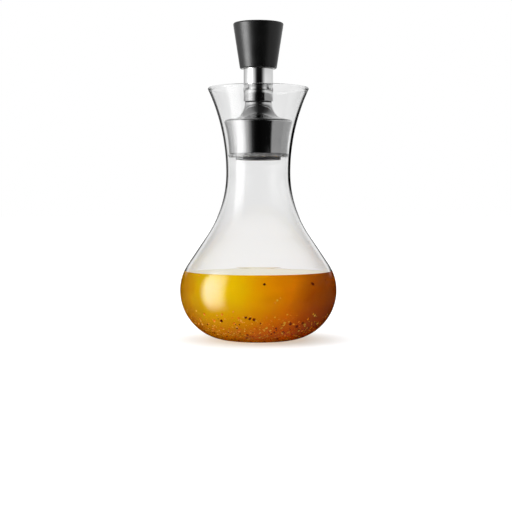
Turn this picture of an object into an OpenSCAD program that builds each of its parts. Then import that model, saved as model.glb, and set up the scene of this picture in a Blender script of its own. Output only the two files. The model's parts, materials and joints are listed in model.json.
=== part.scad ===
// Salad dressing shaker bottle: a round glass bottle with a waisted neck and a flared mouth,
// a pourer held in the neck by a silicone ring, and a pull-out stopper under a black grip.
// Z is the bottle's axis, and Z = 0 is the table. All sizes are millimetres.

/* [Bottle] */
// Widest diameter of the bottle
belly_d = 101.7; // [98:0.5:106]
// Height of the widest place, which is also the radius of the round base
belly_z = 32.2; // [31:0.1:34]
// Radius of the round shoulder above the widest place
shoulder_r = 30.3; // [29:0.1:32]
// Slope of the shoulder's straight part, from the vertical
shoulder_angle = 34; // [33:0.5:36]
// Diameter at the waist of the neck
neck_d = 41.5; // [41:0.1:42.5]
// Height of the waist
neck_z = 108.5; // [107:0.5:110]
// Diameter over the lip of the flared mouth
mouth_d = 65.2; // [63:0.2:68]
// Height of the mouth's lip
mouth_z = 163.4; // [162:0.2:165]
// Thickness of the glass wall
wall = 1.6; // [1.4:0.1:1.8]
// Thickness of the rounded bead round the lip
lip_d = 2.2; // [2:0.1:2.4]
// Thickness of the glass floor
floor_t = 3; // [2.4:0.2:4]

/* [Contents] */
// Height of the dressing's surface above the table
fill_z = 44.2; // [38:0.2:48]

/* [Pourer] */
// Depth of the pourer's lower end below the lip
pourer_depth = 46.7; // [46.2:0.1:46.7]
// Thickness of the clamp nut under the seal
nut_t = 1.6; // [1.4:0.1:2]
// Diameter of the clamp nut
nut_d = 29.2; // [27:0.2:31]
// Thickness of the silicone seal
seal_t = 2.2; // [2:0.1:2.4]
// Gap between the seal and the glass
seal_gap = 0.1; // [0.05:0.01:0.2]
// Diameter of the collar's lower edge
collar_d = 38.1; // [37.5:0.1:38.4]
// Height of the collar's skirt, up to its rounded shoulder
collar_h = 19.7; // [19:0.1:20]
// Radius of the skirt's outward sweep
collar_sweep = 68; // [66:1:80]
// Thickness of the collar's and the spout's steel
steel_t = 0.8; // [0.6:0.1:1]
// Diameter of the spout at its rim
spout_d = 17.7; // [17.5:0.1:18]
// Height of the spout's rim over its foot
spout_h = 10.4; // [10:0.1:12]
// Diameter of the spout's foot, where it lies in the collar's top
spout_foot_d = 34; // [33:0.5:35]
// Diameter of the bore that the dressing is poured through
pour_d = 12; // [11:0.2:12.4]

/* [Stopper] */
// Diameter of the polished stem
stem_d = 19.2; // [19:0.1:19.4]
// Length of the stem that shows between the spout and the grip
stem_h = 20.95; // [18:0.05:24]
// Height of the grip
grip_h = 29.6; // [27:0.1:34]
// Diameter of the grip at its lower edge
grip_low_d = 23.7; // [23:0.1:25]
// Diameter of the grip at its top
grip_top_d = 32.8; // [31:0.2:35]
// Rounding of the grip's edges
grip_edge = 1; // [0.8:0.1:1.4]
// Diameter of the plug in the spout
plug_d = 12.9; // [12.7:0.05:12.95]
// Diameter of the O-rings' cord
ring_cord = 1.6; // [1.4:0.1:1.7]
// Diameter of the tie rod
rod_d = 5; // [4:0.2:6]
// Width of the nut in the grip, across its flats
nut_af = 8; // [7.8:0.1:9]

/* [Fits] */
// Gap between pieces that are pressed or glued together
fit_gap = 0.05; // [0.03:0.01:0.08]
// Gap between the O-rings and their seat
slide_gap = 0.03; // [0.02:0.01:0.06]
// Thickness of the soft gaskets
gasket_t = 0.5; // [0.4:0.05:0.6]

/* [Hidden] */
$fn = 96;

belly_r = belly_d / 2;
neck_r = neck_d / 2;
foot_r = belly_r - belly_z;
lip_r = lip_d / 2;
lip_z = mouth_z - lip_r;

// The shoulder's arc ends where its slope starts. A straight line and the neck's arc lead on
// from there, and the arc's radius is the one that brings them to the waist's size and height.
slope_r = belly_r - shoulder_r * (1 - cos(shoulder_angle));
slope_z = belly_z + shoulder_r * sin(shoulder_angle);
drop_r = slope_r - neck_r;
drop_z = neck_z - slope_z;
turn = 1 - cos(shoulder_angle);
neck_arc = (drop_z * sin(shoulder_angle) - drop_r * cos(shoulder_angle)) / turn;

// The mouth's arc leaves the waist upright and passes through the lip's outer edge.
flare_r = mouth_d / 2 - neck_r;
flare_z = lip_z - neck_z;
flare_arc = (flare_z * flare_z + flare_r * flare_r) / (2 * flare_r);

// Heights through the pourer, from its lower end up
pourer_z = mouth_z - pourer_depth;
seal_z = pourer_z + nut_t;
core_z = seal_z + seal_t;
collar_z = core_z + 0.2;
collar_edge_z = collar_z + collar_h;
collar_top_z = collar_edge_z + 2.3;
seat_face_z = collar_top_z + 0.3;
spout_foot_z = seat_face_z + 0.5;
spout_z = spout_foot_z + spout_h;
core_top_z = seat_face_z - steel_t - gasket_t;
bush_z = core_z + 6.5;
core_flange_t = 2.2;

// Radii through the pourer
collar_r = collar_d / 2;
core_r = collar_r - steel_t - fit_gap;
collar_edge_r = collar_r + collar_sweep - sqrt(pow(collar_sweep, 2) - pow(collar_h, 2));
collar_top_r = collar_edge_r - 1.2;
hub_r = 11.1;
tower_r = 12;
bush_in_r = plug_d / 2 + 0.1;
bush_out_r = spout_d / 2 - steel_t - 2 * fit_gap;

// Heights and radii through the stopper
stem_z = spout_z + fit_gap + gasket_t;
grip_z = stem_z + stem_h;
total_h = grip_z + grip_h;
plug_z = core_z + 9;
plug_tip = 2.5;
boss_top_z = grip_z - 3;
ring_r = plug_d / 2 + 0.1 - slide_gap - ring_cord / 2;
upper_ring_z = spout_z - 5.5;
lower_ring_z = plug_z + 5;
end_nut_t = 3.2;
end_nut_r = 4.2;
rod_z = plug_z - plug_tip - end_nut_t + 1.4;
base_t = 1.2;
grip_wall = 1.8;
grip_cap = 3.2;
cavity_top_z = total_h - grip_cap;
insert_t = 4;
insert_z = grip_z + base_t + (cavity_top_z - grip_z - base_t - insert_t) / 2;
rod_top_z = insert_z + insert_t + 2;

// Points of an arc in the r-z plane, from angle a0 to a1, in n steps
function arc(r, z, radius, a0, a1, n) =
    [for (i = [0 : n]) let (a = a0 + (a1 - a0) * i / n) [r + radius * cos(a), z + radius * sin(a)]];

// The upper wall, from the widest place to the lip, moved inward by d
function wall_points(d) = concat(
    arc(belly_r - shoulder_r, belly_z, shoulder_r - d, 0, shoulder_angle, 10),
    arc(neck_r + neck_arc, neck_z, neck_arc + d, 180 + shoulder_angle, 180, 12),
    arc(neck_r + flare_arc, neck_z, flare_arc + d, 180, 180 - asin(flare_z / (flare_arc + d)), 16)
);

// The lower wall: a quarter of an ellipse from the foot out towards the widest place
function base_points(d, floor_z) =
    [for (i = [0 : 17]) let (a = 90 - 5 * i)
        [foot_r + (belly_z - d) * cos(a), belly_z - (belly_z - floor_z) * sin(a)]];

// Inner radius of the glass above the waist
function glass_r(z) =
    neck_r + flare_arc - sqrt(pow(flare_arc + wall, 2) - pow(z - neck_z, 2));

// Outer radius of the collar's skirt, d inside its surface
function skirt_r(z, d) =
    collar_r + collar_sweep - sqrt(pow(collar_sweep + d, 2) - pow(z - collar_z, 2));

// Radius of the spout at height z, d inside its surface: a quarter of an ellipse
spout_span_r = (spout_foot_d - spout_d) / 2;
spout_span_z = spout_h;
function spout_point(a, d) = [
    spout_foot_d / 2 - (spout_span_r + d) * cos(a),
    spout_z - (spout_span_z + d) * sin(a)
];

// Outer radius of the grip at height z, d inside its surface
function grip_r(z, d) =
    grip_low_d / 2 - d + (grip_top_d - grip_low_d) / 2 * (z - grip_z) / grip_h;

module ring(r_in, r_out, z0, z1) {
    translate([0, 0, z0]) difference() {
        cylinder(h = z1 - z0, r = r_out);
        translate([0, 0, -1]) cylinder(h = z1 - z0 + 2, r = r_in);
    }
}

module bottle() {
    color("white", 0.3) rotate_extrude() polygon(concat(
        [[0, 0]],
        base_points(0, 0),
        wall_points(0),
        arc(mouth_d / 2 - lip_r, lip_z, lip_r, 15, 195, 12),
        [for (i = [len(wall_points(wall)) - 2 : -1 : 0]) wall_points(wall)[i]],
        [for (i = [17 : -1 : 0]) base_points(wall, floor_t)[i]],
        [[0, floor_t]]
    ));
}

module dressing() {
    d = wall + fit_gap;
    fill_a = asin((fill_z - belly_z) / (shoulder_r - d));
    color("orange") rotate_extrude() polygon(concat(
        [[0, floor_t + fit_gap]],
        base_points(d, floor_t + fit_gap),
        arc(belly_r - shoulder_r, belly_z, shoulder_r - d, 0, fill_a, 8),
        [[0, fill_z]]
    ));
}

// Pressed steel shell: a swept skirt, a rounded shoulder and a top with a seat for the spout
module collar() {
    foot = spout_foot_d / 2 + fit_gap;
    skirt = [for (i = [0 : 12]) collar_z + (collar_h - 0.4) * i / 12];
    color("silver") rotate_extrude() polygon(concat(
        [for (z = skirt) [skirt_r(z, 0), z]],
        arc(collar_edge_r - 1.5, collar_edge_z + 0.6, 1.6, -15, 75, 5),
        [[collar_top_r - 0.6, collar_top_z + 0.05]],
        [[foot, spout_foot_z]],
        [[foot, seat_face_z]],
        [[tower_r - 1.5, seat_face_z]],
        [[tower_r - 1.5, seat_face_z - steel_t]],
        [[foot, seat_face_z - steel_t]],
        [[collar_top_r - 1.2, collar_top_z - steel_t]],
        [for (i = [12 : -1 : 0]) [skirt_r(skirt[i], steel_t), skirt[i]]]
    ));
}

// Trumpet-shaped steel spout, whose foot lies flush in the collar's top
module spout() {
    lip = steel_t / 2;
    color("silver") rotate_extrude() polygon(concat(
        [for (i = [0 : 17]) spout_point(90 - 5 * i, 0)],
        arc(spout_d / 2 - lip, spout_z - lip, lip, 0, 180, 6),
        [for (i = [2 : 14]) spout_point(5 * i, steel_t)],
        [[spout_foot_d / 2 - 3.4, seat_face_z]],
        [[spout_foot_d / 2, seat_face_z]]
    ));
}

// Moulded core: a flange over the seal, a hub for the nut, and a ribbed tower with two bores
module pourer_core() {
    color("dimgray") difference() {
        union() {
            translate([0, 0, pourer_z + 0.2]) cylinder(h = core_z - pourer_z, r = hub_r);
            translate([0, 0, core_z]) cylinder(h = core_flange_t, r = core_r);
            translate([0, 0, core_z]) cylinder(h = core_top_z - core_z, r = tower_r);
            for (a = [0 : 60 : 300]) rotate([0, 0, a])
                translate([tower_r - 1, -0.8, core_z])
                    cube([core_r - tower_r, 1.6, collar_h - 3]);
        }
        translate([0, 0, pourer_z - 1]) cylinder(h = bush_z - pourer_z + 2, r = pour_d / 2);
        translate([0, 0, bush_z]) cylinder(h = core_top_z - bush_z + 1, r = bush_out_r + fit_gap);
    }
}

module flange_gasket() {
    color("gray") ring(bush_out_r + 0.3, tower_r, core_top_z, core_top_z + gasket_t);
}

// Soft liner that the plug seals in, from the core's shoulder up to the spout's rim
module seat_bush() {
    color("white") ring(bush_in_r, bush_out_r, bush_z, spout_z - 0.5);
}

// Silicone ring that holds the pourer in the glass
module seal_ring() {
    edge = 0.8;
    top_r = glass_r(core_z) - seal_gap;
    low_r = glass_r(seal_z + edge) - seal_gap;
    color("lightgray") rotate_extrude() polygon(concat(
        [[hub_r + fit_gap, seal_z]],
        arc(low_r - edge, seal_z + edge, edge, -90, 0, 6),
        [[top_r, core_z]],
        [[hub_r + fit_gap, core_z]]
    ));
}

// Thin round nut under the seal, with two slots for a key
module clamp_nut() {
    color("gray") difference() {
        ring(hub_r + fit_gap, nut_d / 2, pourer_z, seal_z);
        for (a = [0, 180]) rotate([0, 0, a])
            translate([nut_d / 2 - 1.6, -1.5, pourer_z - 1]) cube([3, 3, nut_t + 2]);
    }
}

// Matt black grip: a straight flared shell, open below, with rounded edges
module grip() {
    lean = atan((grip_top_d - grip_low_d) / 2 / grip_h);
    low_z = grip_z + grip_edge;
    high_z = total_h - grip_edge;
    color("black") rotate_extrude() polygon(concat(
        arc(grip_r(low_z, grip_edge), low_z, grip_edge, -90, -lean, 6),
        arc(grip_r(high_z, grip_edge), high_z, grip_edge, -lean, 90, 8),
        [[0, total_h]],
        [[0, cavity_top_z]],
        [[grip_r(cavity_top_z, grip_wall), cavity_top_z]],
        [[grip_r(grip_z + base_t, grip_edge + 0.2), grip_z + base_t]],
        [[grip_r(grip_z, grip_edge), grip_z]]
    ));
}

module grip_core() {
    low_z = grip_z + base_t;
    color("dimgray") difference() {
        rotate_extrude() polygon([
            [0, low_z],
            [grip_r(low_z, grip_wall + 2 * fit_gap), low_z],
            [grip_r(cavity_top_z, grip_wall + 2 * fit_gap), cavity_top_z],
            [0, cavity_top_z]
        ]);
        translate([0, 0, low_z - 1])
            cylinder(h = rod_top_z - low_z + 2, r = rod_d / 2 + fit_gap);
        translate([0, 0, insert_z])
            cylinder(h = insert_t, r = nut_af / sqrt(3) + fit_gap, $fn = 6);
    }
}

// Hexagonal nut moulded into the grip's core, which the tie rod screws into
module grip_nut() {
    color("silver") difference() {
        translate([0, 0, insert_z]) cylinder(h = insert_t, r = nut_af / sqrt(3), $fn = 6);
        translate([0, 0, insert_z - 1]) cylinder(h = insert_t + 2, r = rod_d / 2 + fit_gap);
    }
}

// Steel disc that closes the grip's underside and rests on the stem
module grip_base() {
    r = grip_r(grip_z, grip_edge + 2 * fit_gap);
    color("gray") ring(rod_d / 2 + fit_gap, r, grip_z, grip_z + base_t);
}

module stem_sleeve() {
    edge = 0.3;
    r = stem_d / 2;
    in_r = r - 0.9;
    color("silver") rotate_extrude() polygon(concat(
        arc(r - edge, stem_z + edge, edge, -90, 0, 4),
        [[r, grip_z]],
        [[in_r, grip_z]],
        [[in_r, stem_z]]
    ));
}

// Steel rod that ties the plug, the stem and the grip together
module stem_rod() {
    color("silver") translate([0, 0, rod_z]) cylinder(h = rod_top_z - rod_z, r = rod_d / 2);
}

// Moulded plug: a boss inside the stem, a round shaft with two ring grooves, a tapered tip
module plug() {
    groove_r = ring_r - ring_cord / 2 - 0.02;
    groove_h = ring_cord + 0.2;
    color("dimgray") difference() {
        union() {
            translate([0, 0, plug_z - plug_tip])
                cylinder(h = plug_tip, r1 = end_nut_r, r2 = plug_d / 2);
            translate([0, 0, plug_z]) cylinder(h = stem_z - plug_z, r = plug_d / 2);
            translate([0, 0, stem_z])
                cylinder(h = boss_top_z - stem_z, r = stem_d / 2 - 0.9 - fit_gap);
        }
        for (z = [upper_ring_z, lower_ring_z])
            ring(groove_r, plug_d, z - groove_h / 2, z + groove_h / 2);
        translate([0, 0, plug_z - plug_tip - 1])
            cylinder(h = boss_top_z - plug_z + plug_tip + 2, r = rod_d / 2 + fit_gap);
    }
}

// Thin washer that closes the joint between the spout's rim and the stem
module rim_gasket() {
    color("black") ring(plug_d / 2 + fit_gap, spout_d / 2 - 0.2, stem_z - gasket_t, stem_z);
}

module o_ring(z) {
    color("black") translate([0, 0, z]) rotate_extrude()
        translate([ring_r, 0]) circle(d = ring_cord);
}

module upper_o_ring() {
    o_ring(upper_ring_z);
}

module lower_o_ring() {
    o_ring(lower_ring_z);
}

// Domed nut on the rod's lower end, which holds the plug
module end_nut() {
    top_z = plug_z - plug_tip;
    color("silver") difference() {
        rotate_extrude() polygon(concat(
            [[0, top_z]],
            [[0, top_z - end_nut_t]],
            [for (i = [1 : 6])
                [end_nut_r * sin(15 * i), top_z - end_nut_t + 1.4 * (1 - cos(15 * i))]],
            [[end_nut_r, top_z]]
        ));
        translate([0, 0, rod_z - fit_gap]) cylinder(h = end_nut_t, r = rod_d / 2 + fit_gap);
    }
}

bottle();
dressing();
collar();
spout();
pourer_core();
flange_gasket();
seat_bush();
seal_ring();
clamp_nut();
grip();
grip_core();
grip_nut();
grip_base();
stem_sleeve();
stem_rod();
plug();
rim_gasket();
upper_o_ring();
lower_o_ring();
end_nut();
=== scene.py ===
# %% [markdown]
# # A salad dressing shaker bottle
# The bottle is clear glass with a round belly, a narrow waist and a mouth that opens like a
# trumpet. A steel pourer sits in the neck on a silicone ring, and a stopper with a black grip
# closes it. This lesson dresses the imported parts: each cell makes one piece or one finish.
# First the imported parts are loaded. They are the frame, and everything is placed by them.

# %% Load the frame
import json
import math

import bmesh
import bpy
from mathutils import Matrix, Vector


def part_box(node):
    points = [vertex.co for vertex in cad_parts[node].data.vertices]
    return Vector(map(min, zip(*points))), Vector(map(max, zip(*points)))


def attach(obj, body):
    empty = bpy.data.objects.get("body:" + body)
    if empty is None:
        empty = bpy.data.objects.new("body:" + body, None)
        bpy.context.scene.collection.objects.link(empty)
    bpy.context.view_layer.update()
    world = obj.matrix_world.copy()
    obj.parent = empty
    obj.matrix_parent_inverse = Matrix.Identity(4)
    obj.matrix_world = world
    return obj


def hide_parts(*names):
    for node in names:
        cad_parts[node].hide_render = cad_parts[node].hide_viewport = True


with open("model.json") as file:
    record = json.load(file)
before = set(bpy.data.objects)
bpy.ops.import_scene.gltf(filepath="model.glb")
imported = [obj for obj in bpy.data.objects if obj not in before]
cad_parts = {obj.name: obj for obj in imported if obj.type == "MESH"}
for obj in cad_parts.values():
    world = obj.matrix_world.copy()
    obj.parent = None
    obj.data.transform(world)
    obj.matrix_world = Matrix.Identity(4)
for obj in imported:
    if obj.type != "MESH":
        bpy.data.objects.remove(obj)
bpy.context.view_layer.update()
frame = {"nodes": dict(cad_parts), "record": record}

MM = 0.001

# %% [markdown]
# ## Small helpers
# A node tree is easier to read when one line adds a node, sets it up and links it. Colours are
# picked on a screen as sRGB hex values, but a renderer adds up light, so it wants linear values.

# %% Helpers for nodes and colours
def add(tree, kind, inputs=None, **settings):
    """Adds a node, sets it, and fills each input with a value or a link from another socket."""
    node = tree.nodes.new(kind)
    for name, value in settings.items():
        setattr(node, name, value)
    for name, value in (inputs or {}).items():
        if isinstance(value, bpy.types.NodeSocket):
            tree.links.new(value, node.inputs[name])
        else:
            node.inputs[name].default_value = value
    return node


def srgb(code):
    """A hex colour such as "E8A020" as the linear RGBA that nodes expect."""
    parts = [int(code[i:i + 2], 16) / 255 for i in (0, 2, 4)]
    linear = [p / 12.92 if p <= 0.04045 else ((p + 0.055) / 1.055) ** 2.4 for p in parts]
    return (*linear, 1.0)


def grey(level):
    """A plain level of light, or a share of it, as a colour."""
    return (level, level, level, 1.0)


def set_stops(ramp, stops):
    """Gives a colour ramp its stops, from (position, colour) pairs in rising order."""
    elements = ramp.color_ramp.elements
    elements[0].position, elements[1].position = 0.0, 1.0
    while len(elements) < len(stops):
        elements.new(0.5)
    for element, (position, colour) in zip(elements, stops):
        element.position = position
        element.color = colour


def new_material(name):
    """An empty node material and its output node."""
    material = bpy.data.materials.new(name)
    material.use_nodes = True
    material.node_tree.nodes.clear()
    return material, add(material.node_tree, "ShaderNodeOutputMaterial")


print("helpers ready")

# %% [markdown]
# ## The camera
# The bottle is seen from a little under a metre, at the height of its neck, so the eye looks up
# under the lip and down on the dressing. A long lens keeps the shape nearly free of perspective.

# %% Camera
EYE_DISTANCE = 0.812
EYE_HEIGHT = 0.090
EYE_SIDE = -0.0015
LENS_MM = 87.81
TILT = math.radians(2.517)

camera_data = bpy.data.cameras.new("camera")
camera_data.lens = LENS_MM
camera_data.sensor_width = 36
camera_data.clip_start = 0.01
camera = bpy.data.objects.new("camera", camera_data)
camera.location = (EYE_SIDE, -EYE_DISTANCE, EYE_HEIGHT)
camera.rotation_euler = (math.pi / 2 - TILT, 0, 0)
bpy.context.scene.collection.objects.link(camera)
bpy.context.scene.camera = camera
print("camera at", tuple(camera.location))

# %% [markdown]
# ## Sizes that several pieces share
# Heights come from the frame's boxes. The arcs of the glass are its few driving sizes: a round
# base, a round shoulder, a straight slope, a long waist and a long flare.

# %% Sizes
glass_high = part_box("bottle")[1]
collar_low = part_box("collar")[0]
spout_low, spout_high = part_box("spout")
stem_low, stem_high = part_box("stem_sleeve")
grip_low, grip_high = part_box("grip")
seal_low, seal_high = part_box("seal_ring")
liquid_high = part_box("dressing")[1]

BELLY_R = glass_high.x
BELLY_Z = 32.2 * MM
SHOULDER_R = 30.3 * MM
SHOULDER_ANGLE = math.radians(34)
NECK_R = 20.75 * MM
NECK_Z = 108.5 * MM
MOUTH_R = 32.6 * MM
WALL = 1.6 * MM
LIP_R = 1.1 * MM
FLOOR_T = 3.0 * MM
FILL_Z = liquid_high.z

FOOT_R = BELLY_R - BELLY_Z
LIP_Z = glass_high.z - LIP_R
slope_r = BELLY_R - SHOULDER_R * (1 - math.cos(SHOULDER_ANGLE))
slope_z = BELLY_Z + SHOULDER_R * math.sin(SHOULDER_ANGLE)
WAIST_ARC = ((NECK_Z - slope_z) * math.sin(SHOULDER_ANGLE)
             - (slope_r - NECK_R) * math.cos(SHOULDER_ANGLE)) / (1 - math.cos(SHOULDER_ANGLE))
flare_r = MOUTH_R - NECK_R
flare_z = LIP_Z - NECK_Z
FLARE_ARC = (flare_z ** 2 + flare_r ** 2) / (2 * flare_r)
print("waist arc", round(WAIST_ARC / MM, 1), "mm, flare arc", round(FLARE_ARC / MM, 1), "mm")

# %% [markdown]
# ## Profiles
# Every shell of this bottle is turned about one axis, so each starts as a profile: a row of
# (radius, height) points. Two helpers write profiles: one gives an arc, and one rounds the
# corners of a polygon, because a real edge is never quite sharp and its rounding catches light.

# %% Helpers for profiles
def arc(r, z, radius, start, end, steps):
    """Points of an arc about (r, z), from one angle to another in degrees."""
    angles = [math.radians(start + (end - start) * i / steps) for i in range(steps + 1)]
    return [(r + radius * math.cos(a), z + radius * math.sin(a)) for a in angles]


def rounded(corners, steps=5):
    """A closed profile from (radius, height, rounding) corners."""
    points = []
    count = len(corners)
    for i, (r, z, rounding) in enumerate(corners):
        here = Vector((r, z))
        if rounding == 0:
            points.append((r, z))
            continue
        back = (Vector(corners[i - 1][:2]) - here).normalized()
        ahead = (Vector(corners[(i + 1) % count][:2]) - here).normalized()
        half = back.angle(ahead) / 2
        centre = here + (back + ahead).normalized() * rounding / math.sin(half)
        first = here + back * rounding / math.tan(half) - centre
        last = here + ahead * rounding / math.tan(half) - centre
        for step in range(steps + 1):
            way = first.lerp(last, step / steps)
            points.append(tuple(centre + way.normalized() * rounding))
    return points + points[:1]


print("profile helpers ready")

# %% [markdown]
# ## A lathe made of Geometry Nodes
# The lathe takes a profile as a row of vertices. It makes a flat grid with one row for each
# profile point and one column for each step round the axis, and moves every grid point to its
# profile point's radius and height at its column's angle. Merging closes the seam and the poles.

# %% Start and end of a tree
def start_tree(name, inputs):
    """A tree with geometry in and out and the other inputs, and the sockets of its inputs."""
    tree = bpy.data.node_groups.new(name, "GeometryNodeTree")
    tree.interface.new_socket("Geometry", in_out="OUTPUT", socket_type="NodeSocketGeometry")
    for label, kind in {"Geometry": "Geometry", **inputs}.items():
        tree.interface.new_socket(label, in_out="INPUT", socket_type="NodeSocket" + kind)
    return tree, add(tree, "NodeGroupInput").outputs


def end_tree(tree, geometry, finish):
    """Makes instances real, gives them their finish and hands them out."""
    made = add(tree, "GeometryNodeRealizeInstances", {"Geometry": geometry})
    finished = add(tree, "GeometryNodeSetMaterial", {
        "Geometry": made.outputs[0], "Material": finish})
    add(tree, "NodeGroupOutput", {0: finished.outputs[0]})


print("tree helpers ready")

# %% The lathe
SEAM_MERGE = 0.002 * MM


def build_lathe():
    tree, given = start_tree("lathe", {"Steps round": "Int", "Finish": "Material"})
    size = add(tree, "GeometryNodeAttributeDomainSize", {"Geometry": given["Geometry"]})
    columns = add(tree, "ShaderNodeMath", {0: given["Steps round"], 1: 1.0}, operation="ADD")
    grid = add(tree, "GeometryNodeMeshGrid", {
        "Size X": 1.0, "Size Y": 1.0,
        "Vertices X": size.outputs["Point Count"], "Vertices Y": columns.outputs[0]})
    place = add(tree, "ShaderNodeSeparateXYZ",
                {0: add(tree, "GeometryNodeInputPosition").outputs[0]})
    last = add(tree, "ShaderNodeMath", {0: size.outputs["Point Count"], 1: 1.0},
               operation="SUBTRACT")
    along = add(tree, "ShaderNodeMath", {0: place.outputs["X"], 1: 0.5}, operation="ADD")
    row = add(tree, "ShaderNodeMath", {0: along.outputs[0], 1: last.outputs[0]},
              operation="MULTIPLY")
    index = add(tree, "FunctionNodeFloatToInt", {0: row.outputs[0]}, rounding_mode="ROUND")
    turn = add(tree, "ShaderNodeMath", {0: place.outputs["Y"], 1: math.tau},
               operation="MULTIPLY")
    point = add(tree, "GeometryNodeSampleIndex", {
        "Geometry": given["Geometry"],
        "Value": add(tree, "GeometryNodeInputPosition").outputs[0],
        "Index": index.outputs[0]}, data_type="FLOAT_VECTOR", domain="POINT")
    turned = add(tree, "ShaderNodeVectorRotate", {
        "Vector": point.outputs["Value"], "Axis": (0, 0, 1), "Angle": turn.outputs[0]},
        rotation_type="AXIS_ANGLE")
    moved = add(tree, "GeometryNodeSetPosition", {
        "Geometry": grid.outputs["Mesh"], "Position": turned.outputs[0]})
    closed = add(tree, "GeometryNodeMergeByDistance", {
        "Geometry": moved.outputs[0], "Distance": SEAM_MERGE})
    end_tree(tree, closed.outputs[0], given["Finish"])
    return tree


def run_tree(name, mesh, tree, values):
    """Runs a tree on a mesh and returns the result as a plain mesh object."""
    maker = bpy.data.objects.new(name + "_maker", mesh)
    bpy.context.scene.collection.objects.link(maker)
    modifier = maker.modifiers.new("tree", "NODES")
    modifier.node_group = tree
    sockets = {s.name: s.identifier for s in tree.interface.items_tree if s.in_out == "INPUT"}
    for key, value in values.items():
        modifier[sockets[key]] = value
    bpy.context.view_layer.update()
    graph = bpy.context.evaluated_depsgraph_get()
    made = bpy.data.meshes.new_from_object(maker.evaluated_get(graph), depsgraph=graph)
    maker.modifiers.remove(modifier)
    bpy.data.objects.remove(maker)
    piece = bpy.data.objects.new(name, made)
    made.name = name
    bpy.context.scene.collection.objects.link(piece)
    return piece


def profile_row(name, profile):
    """A profile as a row of vertices for the lathe."""
    row = bpy.data.meshes.new(name + "_profile")
    row.from_pydata([(r, 0, z) for r, z in profile],
                    [(i, i + 1) for i in range(len(profile) - 1)], [])
    return row


lathe_tree = build_lathe()


def turn_on_lathe(name, profile, finish, steps=160, crease=35):
    """Turns a profile into a closed shell with smooth sides, and sharp edges past the crease."""
    piece = run_tree(name, profile_row(name, profile), lathe_tree,
                     {"Steps round": steps, "Finish": finish})
    shell = bmesh.new()
    shell.from_mesh(piece.data)
    if shell.calc_volume(signed=True) < 0:
        bmesh.ops.reverse_faces(shell, faces=shell.faces)
    open_edges = sum(1 for e in shell.edges if not e.is_manifold)
    shell.to_mesh(piece.data)
    volume = shell.calc_volume() / MM ** 3
    shell.free()
    piece.data.shade_smooth()
    piece.data.set_sharp_from_angle(angle=math.radians(crease))
    print(name, len(piece.data.polygons), "faces,", round(volume), "mm3, open edges", open_edges)
    return piece


# %% [markdown]
# ## Clear glass
# The bottle is blown borosilicate glass: colourless, very smooth, and clear enough to vanish but
# for its edges. Light that meets the wall at a slant is bent aside or thrown back, so the rims of
# a glass tube look dark against a pale wall. The outer face mirrors less than plain glass would,
# so that those rims stay clean lines. The inner face mirrors in full, because light that runs
# along inside the wall needs it, and a trace of absorption gives the lip and floor some body.

# %% Glass
def blown_glass():
    material, out = new_material("blown_borosilicate_glass")
    tree = material.node_tree
    place = add(tree, "ShaderNodeSeparateXYZ", {
        0: add(tree, "ShaderNodeTexCoord").outputs["Object"]}).outputs
    upper = add(tree, "ShaderNodeMapRange", {
        "Value": place["Z"], "From Min": 50 * MM, "From Max": 95 * MM})
    outer = add(tree, "ShaderNodeMix", {
        "Factor": upper.outputs[0], "A": grey(0.3), "B": grey(0.18)}, data_type="RGBA")
    inner_side = add(tree, "ShaderNodeNewGeometry").outputs["Backfacing"]
    mirror = add(tree, "ShaderNodeMix", {
        "Factor": inner_side, "A": outer.outputs["Result"], "B": grey(1.0)}, data_type="RGBA")
    body = add(tree, "ShaderNodeBsdfPrincipled", {
        "Base Color": srgb("FDFDFD"), "Roughness": 0.0, "IOR": 1.47, "Transmission Weight": 1.0,
        "Specular Tint": mirror.outputs["Result"]})
    depth = add(tree, "ShaderNodeVolumeAbsorption", {
        "Color": srgb("E4EAE8"), "Density": 12.0})
    tree.links.new(body.outputs[0], out.inputs["Surface"])
    tree.links.new(depth.outputs[0], out.inputs["Volume"])
    return material


glass = blown_glass()
print("made", glass.name)

# %% [markdown]
# ## The bottle
# The outside follows four curves and a straight slope in one sweep: foot, shoulder, slope, waist
# and flare. The inside runs one wall's thickness within it, the lip is a bead rounded by the
# flame, and the floor is thicker in the middle.

# %% Bottle
def wall_line(inset):
    """The wall from the widest place up to just under the lip, moved inward by inset."""
    lift = math.degrees(math.asin(flare_z / (FLARE_ARC + inset)))
    slope = math.degrees(SHOULDER_ANGLE)
    waist = arc(NECK_R + WAIST_ARC, NECK_Z, WAIST_ARC + inset, 180 + slope, 180, 36)
    flare = arc(NECK_R + FLARE_ARC, NECK_Z, FLARE_ARC + inset, 180, 180 - lift, 48)
    return (arc(BELLY_R - SHOULDER_R, BELLY_Z, SHOULDER_R - inset, 0, slope, 24)
            + waist + flare[1:])


def base_line(inset, floor):
    """The round base from the foot out to the widest place: a quarter of an ellipse."""
    angles = [math.radians(90 - 90 * i / 44) for i in range(44)]
    return [(FOOT_R + (BELLY_Z - inset) * math.cos(a),
             BELLY_Z - (BELLY_Z - floor) * math.sin(a)) for a in angles]


outside = [(0, 0)] + base_line(0, 0) + wall_line(0)
lip = arc(MOUTH_R - LIP_R, LIP_Z, LIP_R, 12, 196, 14)
inside = wall_line(WALL)[-2::-1] + base_line(WALL, FLOOR_T)[::-1] + [(0, FLOOR_T)]
bottle = turn_on_lathe("bottle_glass", outside + lip + inside, glass, steps=176, crease=60)
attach(bottle, "bottle_body")
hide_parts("bottle")
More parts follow.
